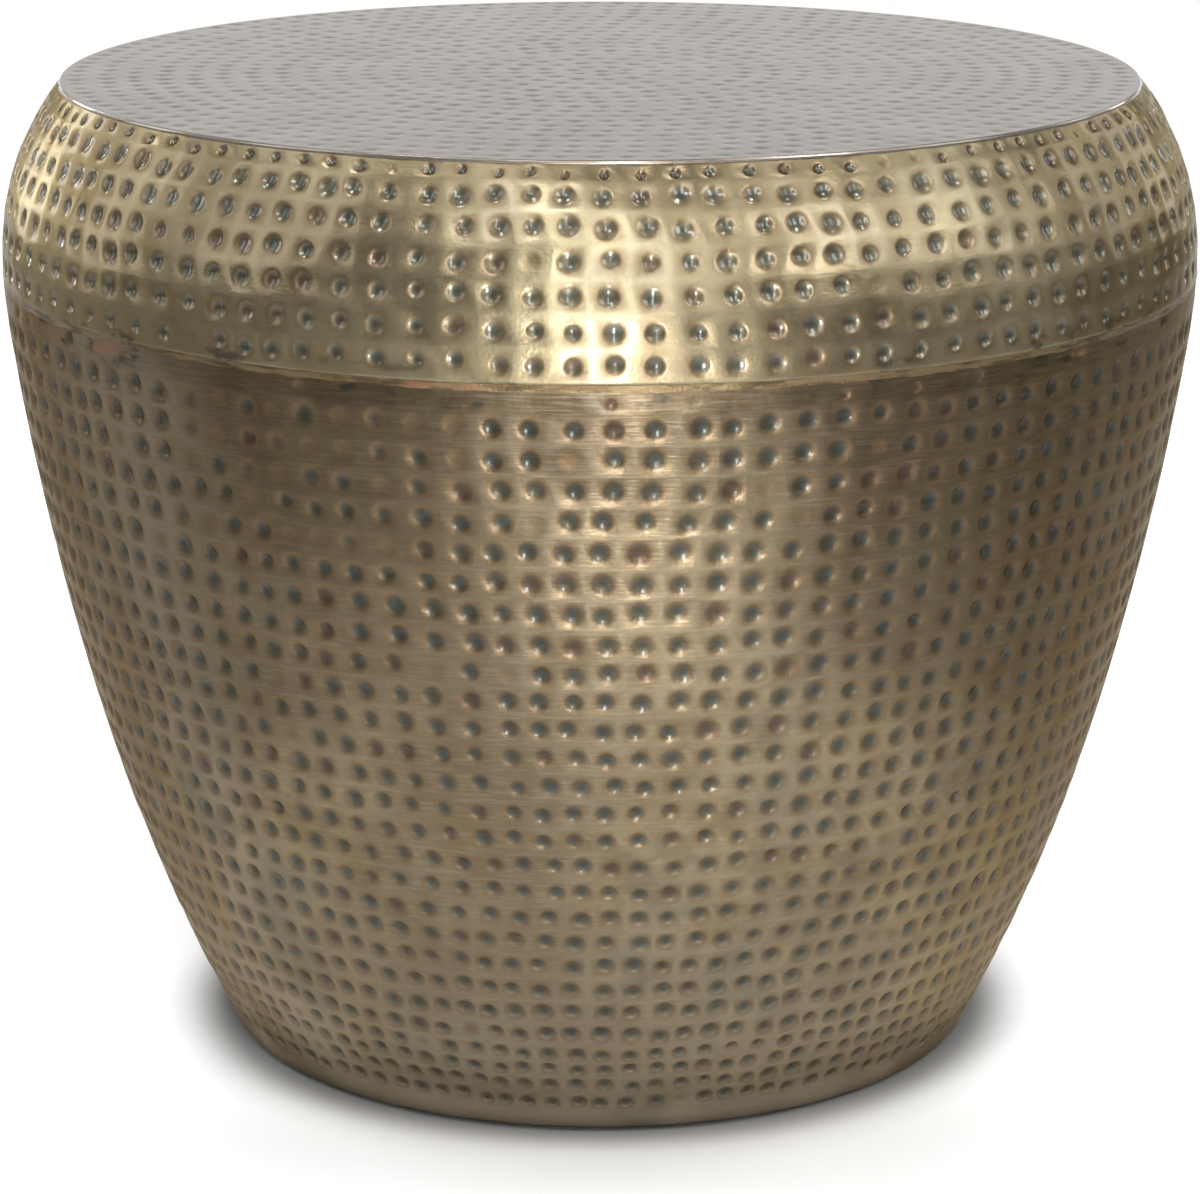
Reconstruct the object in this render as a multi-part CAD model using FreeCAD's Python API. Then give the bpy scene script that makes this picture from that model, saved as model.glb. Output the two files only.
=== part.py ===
import FreeCAD, Part
import math
import os

# Drum side table of hammered brass sheet, in millimetres, +Z up.
# The origin is on the floor, on the drum's axis.
# Two spun shells are lapped and brazed at the belly, a hammered disc closes the top,
# a board on a welded cross stiffens it, and screw glides under the base ring level it.

# Overall form
table_height = 457.2
belly_diameter = 558.8          # the widest point
shoulder_height = 79.7          # belly to tabletop
shoulder_set_in = 29.65         # belly to the tabletop's edge, across
base_set_in = 99.4              # belly to the foot of the wall, across
base_lean = 26.4                # degrees between the wall and the vertical at the base
belly_arc_radius = 250.0
belly_arc_turn = 7.6            # degrees that the wall turns just below the belly

# Sheet metal
shell_sheet = 1.2
top_sheet_thickness = 1.5
top_edge_round = 0.6
ledge_width = 16.0              # inward flange of the shoulder that carries the top
braze_gap = 0.1

# Lap seam between shoulder and body
seam_drop = 8.5                 # belly to the seam
seam_lap = 14.0
joggle_height = 3.0

# Wired rim at the base
rim_gap = 2.0                   # floor to the underside of the rim
wire_diameter = 5.0
wire_clearance = 0.05
curl_opening = 80.0             # degrees of the wire that the rolled sheet leaves bare

# Base ring and its stitch welds
ring_thickness = 3.0
ring_land = 17.0                # glide axis to the ring's inner edge
ring_hole_clearance = 0.5
stitch_count = 8
stitch_length = 32.0
weld_leg = 3.5

# Screw glides
glide_count = 4
glide_travel = 10.0
glide_stop_gap = 0.3
glide_rim_gap = 2.5             # foot to the rolled rim
thread_diameter = 8.0
thread_clearance = 0.05
stud_tip_chamfer = 1.0
nut_across_flats = 13.0
nut_height = 6.5
nut_corner_chamfer = 0.9
nut_chamfer_angle = 30.0        # degrees below the nut's top face
collar_across_flats = 13.0
collar_height = 4.0
pin_head_diameter = 6.6         # the stud's headed pin, which the foot snaps over
pin_head_height = 2.4
pin_neck_diameter = 4.4
pin_clearance = 0.05
collar_foot_gap = 0.6
foot_diameter = 24.0
foot_height = 6.6
foot_edge_height = 2.6
foot_crown_diameter = 12.0
foot_floor = 1.2                # nylon under the pin's head
sole_thickness = 2.0
sole_inset = 1.0

# Board and cross under the top
board_thickness = 12.0
board_clearance = 1.0
board_edge_round = 1.5
bar_width = 30.0
bar_thickness = 4.0
screw_diameter = 4.0
screw_clearance = 0.3
screw_cover = 3.0               # wood left above the screw's point
screw_point = 2.0
screw_head_diameter = 8.0
screw_head_height = 2.4
screw_edge_distance = 40.0      # outer screws, from the edge of the board
screw_centre_distance = 75.0    # inner screws, from the axis
pilot_clearance = 0.02

cut_overrun = 1.0
full_turn = 360.0

# Sizes that follow from the ones above
belly_radius = belly_diameter / 2
belly_z = table_height - shoulder_height
top_radius = belly_radius - shoulder_set_in
base_radius = belly_radius - base_set_in
seam_z = belly_z - seam_drop
wire_radius = wire_diameter / 2
curl_inner_radius = wire_radius + wire_clearance
curl_outer_radius = curl_inner_radius + shell_sheet
curl_centre_z = rim_gap + curl_outer_radius
curl_centre_r = base_radius - curl_outer_radius * math.cos(math.radians(base_lean))
foot_radius = foot_diameter / 2
foot_base_z = sole_thickness
foot_top_z = foot_base_z + foot_height
collar_base_z = foot_top_z + collar_foot_gap
collar_top_z = collar_base_z + collar_height
ring_base_z = collar_top_z + glide_stop_gap
ring_top_z = ring_base_z + ring_thickness
nut_top_z = ring_top_z + nut_height
stud_top_z = nut_top_z + glide_travel
pin_head_base_z = foot_base_z + foot_floor + pin_clearance
pin_head_top_z = pin_head_base_z + pin_head_height
pin_head_radius = pin_head_diameter / 2
pin_neck_radius = pin_neck_diameter / 2
thread_radius = thread_diameter / 2
glide_radius = curl_centre_r - curl_outer_radius - glide_rim_gap - foot_radius
ring_inner_radius = glide_radius - ring_land
ledge_top_z = table_height - top_sheet_thickness
ledge_base_z = ledge_top_z - shell_sheet
ledge_inner_radius = top_radius - ledge_width
board_radius = ledge_inner_radius - board_clearance
board_base_z = ledge_top_z - board_thickness
bar_base_z = board_base_z - bar_thickness
screw_tip_z = ledge_top_z - screw_cover
lap_inset = shell_sheet + braze_gap


# Geometry of the wall: four tangent arcs in the (radius, height) plane.
# An angle is that of the wall's outward normal above the horizontal, in radians.

def vector(r, z):
    return FreeCAD.Vector(r, 0, z)


def normal_at(angle):
    return vector(math.cos(angle), math.sin(angle))


def arc_between(start, start_normal, end):
    # Centre and radius of the arc that leaves start square to start_normal and reaches end.
    chord = end - start
    radius = -chord.dot(chord) / (2 * chord.dot(start_normal))
    return start - start_normal * radius, radius


def biarc_middle(start, start_tangent, end, end_tangent):
    # The point where two tangent arcs meet, with equal control lengths at both ends.
    chord = end - start
    square = 2 * (1 - start_tangent.dot(end_tangent))
    linear = 2 * chord.dot(start_tangent + end_tangent)
    constant = -chord.dot(chord)
    length = (-linear + math.sqrt(linear ** 2 - 4 * square * constant)) / (2 * square)
    return (start + end + (start_tangent - end_tangent) * length) * 0.5


def wall_arcs():
    # (centre, radius, highest angle, lowest angle) of each arc, from the top down.
    shoulder_radius = (shoulder_set_in ** 2 + shoulder_height ** 2) / (2 * shoulder_set_in)
    top_angle = math.atan2(shoulder_height, shoulder_radius - shoulder_set_in)
    shoulder = (vector(belly_radius - shoulder_radius, belly_z), shoulder_radius, top_angle, 0)

    turn = -math.radians(belly_arc_turn)
    belly_centre = vector(belly_radius - belly_arc_radius, belly_z)
    belly = (belly_centre, belly_arc_radius, 0, turn)

    lean = -math.radians(base_lean)
    start = belly_centre + normal_at(turn) * belly_arc_radius
    end = vector(curl_centre_r, curl_centre_z) + normal_at(lean) * curl_outer_radius
    start_tangent = vector(math.sin(turn), -math.cos(turn))
    end_tangent = vector(math.sin(lean), -math.cos(lean))
    middle = biarc_middle(start, start_tangent, end, end_tangent)
    flank_centre, flank_radius = arc_between(start, normal_at(turn), middle)
    foot_centre, foot_arc_radius = arc_between(end, normal_at(lean), middle)
    joint = middle - flank_centre
    joint_angle = math.atan2(joint.z, joint.x)
    flank = (flank_centre, flank_radius, turn, joint_angle)
    foot = (foot_centre, foot_arc_radius, joint_angle, lean)
    return [shoulder, belly, flank, foot]


wall = wall_arcs()
wall_base_angle = wall[-1][3]


def wall_point(angle, inset):
    # A point of the wall at this normal angle, inset from the outer face.
    for centre, radius, high, low in wall:
        if angle >= low:
            break
    return centre + normal_at(angle) * (radius - inset)


def wall_angle(z, inset):
    # The normal angle at which the inset wall passes height z.
    for centre, radius, high, low in wall:
        if z >= centre.z + (radius - inset) * math.sin(low):
            break
    return math.asin((z - centre.z) / (radius - inset))


def wall_edges(high, low, inset):
    # Edges of the inset wall from one normal angle down to a lower one.
    edges = []
    for centre, radius, arc_high, arc_low in wall:
        upper = min(high, arc_high)
        lower = max(low, arc_low)
        if upper > lower:
            edges.append(arc(centre, radius - inset, upper, lower))
    return edges


def arc(centre, radius, start, end):
    points = [centre + normal_at(a) * radius for a in (start, (start + end) / 2, end)]
    return Part.Arc(*points).toShape()


def line(start, end):
    return Part.LineSegment(start, end).toShape()


def polyline(*points):
    return [line(a, b) for a, b in zip(points, points[1:])]


def lathe(edges, degrees=full_turn):
    # A solid turned about the drum's axis from a closed outline.
    face = Part.Face(Part.Wire(Part.__sortEdges__(edges)))
    return face.revolve(FreeCAD.Vector(0, 0, 0), FreeCAD.Vector(0, 0, 1), degrees)


def cylinder(radius, z_low, z_high):
    return Part.makeCylinder(radius, z_high - z_low, FreeCAD.Vector(0, 0, z_low))


def hexagon(across_flats, z_low, z_high):
    corner = across_flats / math.sqrt(3)
    turns = [math.radians(60 * i) for i in range(7)]
    corners = [FreeCAD.Vector(corner * math.cos(a), corner * math.sin(a), z_low) for a in turns]
    return Part.Face(Part.makePolygon(corners)).extrude(FreeCAD.Vector(0, 0, z_high - z_low))


def rounded(shape, z, radius):
    # The shape with a fillet on its round edges at height z.
    circles = [e for e in shape.Edges if isinstance(e.Curve, Part.Circle)]
    return shape.makeFillet(radius, [e for e in circles if abs(e.Curve.Center.z - z) < radius / 2])


def turned(shape, degrees):
    copy = shape.copy()
    copy.rotate(FreeCAD.Vector(0, 0, 0), FreeCAD.Vector(0, 0, 1), degrees)
    return copy


def placed(shape, x, y):
    copy = shape.copy()
    copy.translate(FreeCAD.Vector(x, y, 0))
    return copy


# Sheet metal shells

def top_sheet():
    low = wall_angle(ledge_top_z, 0)
    high = wall_angle(table_height, 0)
    rim_top = wall_point(high, 0)
    rim_base = wall_point(low, 0)
    outline = wall_edges(high, low, 0)
    outline += polyline(rim_base, vector(0, ledge_top_z), vector(0, table_height), rim_top)
    return rounded(lathe(outline), table_height, top_edge_round)


def shoulder_shell():
    high = wall_angle(ledge_top_z, 0)
    inner_high = wall_angle(ledge_base_z, shell_sheet)
    low = wall_angle(seam_z, 0)
    outline = wall_edges(high, low, 0) + wall_edges(inner_high, low, shell_sheet)
    outline.append(line(wall_point(low, 0), wall_point(low, shell_sheet)))
    outline += polyline(
        wall_point(high, 0),
        vector(ledge_inner_radius, ledge_top_z),
        vector(ledge_inner_radius, ledge_base_z),
        wall_point(inner_high, shell_sheet),
    )
    return lathe(outline)


def body_shell():
    collar_high = wall_angle(seam_z + seam_lap, 0)
    seam = wall_angle(seam_z, 0)
    joggle = wall_angle(seam_z - joggle_height, 0)
    curl_centre = vector(curl_centre_r, curl_centre_z)
    curl_tip = wall_base_angle - math.radians(full_turn - curl_opening)
    collar_inset = lap_inset + shell_sheet
    outline = wall_edges(collar_high, seam, lap_inset) + wall_edges(collar_high, seam, collar_inset)
    outline += wall_edges(joggle, wall_base_angle, 0) + wall_edges(joggle, wall_base_angle, shell_sheet)
    outline.append(line(wall_point(collar_high, lap_inset), wall_point(collar_high, collar_inset)))
    outline.append(line(wall_point(seam, lap_inset), wall_point(joggle, 0)))
    outline.append(line(wall_point(seam, collar_inset), wall_point(joggle, shell_sheet)))
    outline.append(arc(curl_centre, curl_outer_radius, wall_base_angle, curl_tip))
    outline.append(arc(curl_centre, curl_inner_radius, wall_base_angle, curl_tip))
    tip = normal_at(curl_tip)
    outline.append(line(curl_centre + tip * curl_outer_radius, curl_centre + tip * curl_inner_radius))
    return lathe(outline)


def seam_braze():
    # Filler metal in the groove that the joggle leaves under the shoulder's edge.
    seam = wall_angle(seam_z, 0)
    joggle = wall_angle(seam_z - joggle_height, 0)
    outline = wall_edges(seam, joggle, 0)
    outline += polyline(wall_point(joggle, 0), wall_point(seam, lap_inset), wall_point(seam, 0))
    return lathe(outline)


def base_wire():
    return Part.makeTorus(curl_centre_r, wire_radius, FreeCAD.Vector(0, 0, curl_centre_z))


# Base ring and screw glides

def glide_places():
    step = full_turn / glide_count
    turns = [math.radians(step * (i + 0.5)) for i in range(glide_count)]
    return [(glide_radius * math.cos(a), glide_radius * math.sin(a)) for a in turns]


def base_ring():
    high = wall_angle(ring_top_z, lap_inset)
    low = wall_angle(ring_base_z, lap_inset)
    outline = wall_edges(high, low, lap_inset)
    outline += polyline(
        wall_point(low, lap_inset),
        vector(ring_inner_radius, ring_base_z),
        vector(ring_inner_radius, ring_top_z),
        wall_point(high, lap_inset),
    )
    ring = lathe(outline)
    hole = cylinder(thread_radius + ring_hole_clearance, ring_base_z - cut_overrun, ring_top_z + cut_overrun)
    for x, y in glide_places():
        ring = ring.cut(placed(hole, x, y))
    return ring


def ring_welds():
    # Stitch welds in the corner between the top of the base ring and the wall.
    low = wall_angle(ring_top_z, shell_sheet)
    high = wall_angle(ring_top_z + weld_leg, shell_sheet)
    corner = wall_point(low, shell_sheet)
    outline = wall_edges(high, low, shell_sheet)
    outline += polyline(corner, vector(corner.x - weld_leg, ring_top_z), wall_point(high, shell_sheet))
    sweep = math.degrees(stitch_length / corner.x)
    stitch = lathe(outline, sweep)
    step = full_turn / stitch_count
    return Part.Compound([turned(stitch, step * i - sweep / 2) for i in range(stitch_count)])


def weld_nuts():
    block = hexagon(nut_across_flats, ring_top_z, nut_top_z)
    corner = nut_across_flats / math.sqrt(3)
    shoulder = lathe(polyline(
        vector(0, ring_top_z),
        vector(corner, ring_top_z),
        vector(corner, nut_top_z - nut_corner_chamfer * math.tan(math.radians(nut_chamfer_angle))),
        vector(corner - nut_corner_chamfer, nut_top_z),
        vector(0, nut_top_z),
        vector(0, ring_top_z),
    ))
    thread = cylinder(thread_radius + thread_clearance, ring_top_z - cut_overrun, nut_top_z + cut_overrun)
    nut = block.common(shoulder).cut(thread)
    return Part.Compound([placed(nut, x, y) for x, y in glide_places()])


def glide_stud():
    head = cylinder(pin_head_radius, pin_head_base_z, pin_head_top_z)
    neck = cylinder(pin_neck_radius, pin_head_top_z, collar_base_z)
    collar = hexagon(collar_across_flats, collar_base_z, collar_top_z)
    shank = lathe(polyline(
        vector(0, collar_top_z),
        vector(thread_radius, collar_top_z),
        vector(thread_radius, stud_top_z - stud_tip_chamfer),
        vector(thread_radius - stud_tip_chamfer, stud_top_z),
        vector(0, stud_top_z),
        vector(0, collar_top_z),
    ))
    return head.fuse([neck, collar, shank]).removeSplitter()


def glide_foot():
    crown_radius = foot_crown_diameter / 2
    edge_top_z = foot_base_z + foot_edge_height
    body = lathe(polyline(
        vector(0, foot_base_z),
        vector(foot_radius, foot_base_z),
        vector(foot_radius, edge_top_z),
        vector(crown_radius, foot_top_z),
        vector(0, foot_top_z),
        vector(0, foot_base_z),
    ))
    head_room = cylinder(
        pin_head_radius + pin_clearance, pin_head_base_z - pin_clearance, pin_head_top_z + pin_clearance
    )
    neck_hole = cylinder(pin_neck_radius + pin_clearance, pin_head_top_z, foot_top_z + cut_overrun)
    return body.cut(head_room.fuse(neck_hole))


def glide_sole():
    return cylinder(foot_radius - sole_inset, 0, sole_thickness)


# Board and cross under the top

def screw_places():
    outer = board_radius - screw_edge_distance
    turns = [math.radians(90 * i) for i in range(4)]
    return [(r * math.cos(a), r * math.sin(a)) for a in turns for r in (screw_centre_distance, outer)]


def top_board():
    board = rounded(cylinder(board_radius, board_base_z, ledge_top_z), board_base_z, board_edge_round)
    pilot = cylinder(screw_diameter / 2 + pilot_clearance, board_base_z - cut_overrun, screw_tip_z)
    for x, y in screw_places():
        board = board.cut(placed(pilot, x, y))
    return board


def inside_of_shoulder(z_low, z_high, inset):
    # The room inside the shoulder between two heights.
    high = wall_angle(z_high, inset)
    low = wall_angle(z_low, inset)
    outline = wall_edges(high, low, inset)
    outline += polyline(wall_point(low, inset), vector(0, z_low), vector(0, z_high), wall_point(high, inset))
    return lathe(outline)


def cross_bar(x_start, x_end):
    # A flat bar along X, with any end past the wall coped to it, drilled for the board screws.
    stock = Part.makeBox(
        x_end - x_start, bar_width, bar_thickness, FreeCAD.Vector(x_start, -bar_width / 2, bar_base_z)
    )
    bar = stock.common(inside_of_shoulder(bar_base_z, board_base_z, lap_inset))
    hole_radius = screw_diameter / 2 + screw_clearance
    hole = cylinder(hole_radius, bar_base_z - cut_overrun, board_base_z + cut_overrun)
    for x, y in screw_places():
        if abs(y) < screw_diameter:
            bar = bar.cut(placed(hole, x, y))
    return bar


def bar_welds():
    # A fillet weld under each end of the cross, in the corner with the wall.
    corner_r = wall_point(wall_angle(bar_base_z, lap_inset), lap_inset).x
    outer_r = corner_r + weld_leg
    points = [
        FreeCAD.Vector(corner_r - weld_leg, -bar_width / 2, bar_base_z),
        FreeCAD.Vector(outer_r, -bar_width / 2, bar_base_z),
        FreeCAD.Vector(outer_r, -bar_width / 2, bar_base_z - 2 * weld_leg),
    ]
    prism = Part.Face(Part.makePolygon(points + points[:1])).extrude(FreeCAD.Vector(0, bar_width, 0))
    bead = prism.common(inside_of_shoulder(bar_base_z - 2 * weld_leg, bar_base_z, lap_inset))
    return Part.Compound([turned(bead, 90 * i) for i in range(4)])


def board_screws():
    head_radius = screw_head_diameter / 2
    shank_radius = screw_diameter / 2
    head_base_z = bar_base_z - screw_head_height
    dome_radius = (head_radius ** 2 + screw_head_height ** 2) / (2 * screw_head_height)
    dome_centre = vector(0, head_base_z + dome_radius)
    dome_edge = -math.acos(head_radius / dome_radius)
    outline = [arc(dome_centre, dome_radius, dome_edge, -math.pi / 2)] + polyline(
        vector(0, head_base_z),
        vector(0, screw_tip_z),
        vector(shank_radius, screw_tip_z - screw_point),
        vector(shank_radius, bar_base_z),
        vector(head_radius, bar_base_z),
    )
    screw = lathe(outline)
    return Part.Compound([placed(screw, x, y) for x, y in screw_places()])


def main():
    pieces = {
        "top_sheet": top_sheet(),
        "shoulder_shell": shoulder_shell(),
        "seam_braze": seam_braze(),
        "body_shell": body_shell(),
        "base_wire": base_wire(),
        "base_ring": base_ring(),
        "ring_welds": ring_welds(),
        "weld_nuts": weld_nuts(),
        "top_board": top_board(),
        "cross_bar_main": cross_bar(-belly_radius, belly_radius),
        "cross_bar_rear_half": turned(cross_bar(bar_width / 2, belly_radius), 90),
        "cross_bar_front_half": turned(cross_bar(bar_width / 2, belly_radius), -90),
        "bar_welds": bar_welds(),
        "board_screws": board_screws(),
    }
    for number, (x, y) in enumerate(glide_places(), 1):
        pieces[f"glide_stud_{number}"] = placed(glide_stud(), x, y)
        pieces[f"glide_foot_{number}"] = placed(glide_foot(), x, y)
        pieces[f"glide_sole_{number}"] = placed(glide_sole(), x, y)
    os.makedirs("parts", exist_ok=True)
    for name, shape in pieces.items():
        shape.exportStep(os.path.join("parts", name + ".step"))
        print(f"{name}: {len(shape.Solids)} solids, {shape.Volume:.0f} mm3, valid {shape.isValid()}")


main()
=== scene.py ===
import math
import random

import bmesh
import bpy
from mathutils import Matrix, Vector, geometry, noise
from mathutils.bvhtree import BVHTree


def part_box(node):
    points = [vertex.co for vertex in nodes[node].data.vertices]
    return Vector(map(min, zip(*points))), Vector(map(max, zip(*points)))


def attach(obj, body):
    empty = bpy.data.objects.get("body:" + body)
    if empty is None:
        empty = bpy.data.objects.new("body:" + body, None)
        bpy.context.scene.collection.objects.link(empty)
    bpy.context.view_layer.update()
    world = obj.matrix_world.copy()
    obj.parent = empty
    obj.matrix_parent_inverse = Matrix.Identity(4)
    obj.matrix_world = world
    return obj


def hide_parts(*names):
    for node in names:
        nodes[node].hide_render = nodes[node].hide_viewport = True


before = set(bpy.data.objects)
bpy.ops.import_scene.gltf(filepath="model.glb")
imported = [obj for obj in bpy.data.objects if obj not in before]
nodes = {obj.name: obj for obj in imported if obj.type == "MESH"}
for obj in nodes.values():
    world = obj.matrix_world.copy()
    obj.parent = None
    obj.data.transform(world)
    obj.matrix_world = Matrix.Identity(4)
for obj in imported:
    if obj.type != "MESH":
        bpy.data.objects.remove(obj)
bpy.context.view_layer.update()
mm = 0.001
print("frame loaded:", len(nodes), "nodes")


# a socket of a node tree, so that shader maths reads as sums
class Value:
    def __init__(self, tree, socket):
        self.tree = tree
        self.socket = socket

    def maths(self, operation, *terms):
        made = self.tree.nodes.new("ShaderNodeMath")
        made.operation = operation
        for slot, term in zip(made.inputs, terms):
            feed(self.tree, slot, term)
        return Value(self.tree, made.outputs[0])

    def __add__(self, other):
        return self.maths("ADD", self, other)

    def __radd__(self, other):
        return self.maths("ADD", other, self)

    def __sub__(self, other):
        return self.maths("SUBTRACT", self, other)

    def __rsub__(self, other):
        return self.maths("SUBTRACT", other, self)

    def __mul__(self, other):
        return self.maths("MULTIPLY", self, other)

    def __rmul__(self, other):
        return self.maths("MULTIPLY", other, self)

    def __truediv__(self, other):
        return self.maths("DIVIDE", self, other)

    def __abs__(self):
        return self.maths("ABSOLUTE", self)

    def around(self, other):
        return self.maths("ARCTAN2", self, other)  # this is y, other is x

    def atLeast(self, low):  # squeezes 0 to 1 into low to 1
        return low + (1.0 - low) * self

    def between(self, low, high):  # 0 at low, 1 at high, held at both ends
        made = self.tree.nodes.new("ShaderNodeMapRange")
        made.interpolation_type = "SMOOTHSTEP"
        feed(self.tree, made.inputs["Value"], self)
        made.inputs["From Min"].default_value = low
        made.inputs["From Max"].default_value = high
        return Value(self.tree, made.outputs[0])


def feed(tree, slot, term):
    if isinstance(term, Value):
        tree.links.new(slot, term.socket)
    else:
        slot.default_value = term


# a material, or the world, and the nodes that go into it
class Finish:
    def __init__(self, block):
        block.use_nodes = True
        self.block = block
        self.tree = block.node_tree
        self.tree.nodes.clear()

    def node(self, kind, settings=None, sockets=None, out=0):
        made = self.tree.nodes.new("ShaderNode" + kind)
        for name, setting in (settings or {}).items():
            if name == "stops":
                self.setStops(made.color_ramp, setting)
            else:
                setattr(made, name, setting)
        for name, term in (sockets or {}).items():
            feed(self.tree, made.inputs[name], term)
        return Value(self.tree, made.outputs[out]) if made.outputs else None

    def setStops(self, ramp, stops):
        while len(ramp.elements) < len(stops):
            ramp.elements.new(0.5)
        for element, (place, colour) in zip(ramp.elements, stops):
            element.position = place
            element.color = colour

    def mix(self, factor, first, second):  # 6, 7 and 2 are the node's colour sockets
        return self.node("Mix", {"data_type": "RGBA"}, {0: factor, 6: first, 7: second}, out=2)

    def noise(self, coords, scale, detail=3.0, rough=0.55):
        sockets = {"Vector": coords, "Scale": scale, "Detail": detail, "Roughness": rough}
        return self.node("TexNoise", None, sockets)

    def streaks(self, coords, scales, detail, rough=0.55):  # noise with its own scale on each axis
        drawn = self.node("VectorMath", {"operation": "MULTIPLY"}, {0: coords, 1: scales})
        return self.noise(drawn, 1.0, detail, rough)

    def length(self, vector):
        return self.node("VectorMath", {"operation": "LENGTH"}, {0: vector}, out="Value")

    def apart(self, vector):
        made = self.node("SeparateXYZ", None, {"Vector": vector})
        outputs = made.socket.node.outputs
        return [Value(self.tree, socket) for socket in outputs]

    def together(self, x, y, z):
        return self.node("CombineXYZ", None, {"X": x, "Y": y, "Z": z})

    def bump(self, height, strength, distance, normal=None):
        sockets = {"Height": height, "Strength": strength, "Distance": distance}
        if normal:
            sockets["Normal"] = normal
        return self.node("Bump", None, sockets)

    def surface(self, **sockets):
        named = {key.replace("_", " "): term for key, term in sockets.items()}
        made = self.node("BsdfPrincipled", None, named)
        self.node("OutputMaterial", None, {"Surface": made})
        return self.block


def newFinish(name):  # a material, and the object coordinates it is painted by
    finish = Finish(bpy.data.materials.new(name))
    return finish, finish.node("TexCoord", None, None, out="Object")


# Hammered brass under clear lacquer: gold on the high metal, brown patches, dark patina down in the pits

# where each mark starts and where it is full, as levels of its noise
brassMarks = {
    "patch": (0.36, 0.66),
    "blotch": (0.38, 0.68),
    "mottle": (0.44, 0.64),
    "brush": (0.45, 0.70),
    "haze": (0.55, 0.72),
    "grit": (0.30, 0.60),
    "glint": (0.40, 0.62),
    "copper": (0.58, 0.74),
    "stain": (0.56, 0.67),
    # as shares of a pit's depth
    "haloStart": (0.03, 0.25),
    "haloEnd": (0.35, 0.70),
    "pit": (0.08, 0.88),
    "pool": (0.15, 0.60),
    # as levels of each cell's own tone
    "brownCells": (0.60, 1.0),
    "warmPits": (0.72, 0.95),
    # as heights
    "foot": (8 * mm, 24 * mm),
    "lowPaintedLight": (30 * mm, 150 * mm),
    "low": (100 * mm, 300 * mm),
    "flankShadeRise": (160 * mm, 300 * mm),
    # as shares of the radius, to either side of the front
    "flankShadeStart": (0.16, 0.38),
    "flankShadeEnd": (0.58, 0.80),
    "side": (0.62, 0.88),
}


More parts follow.
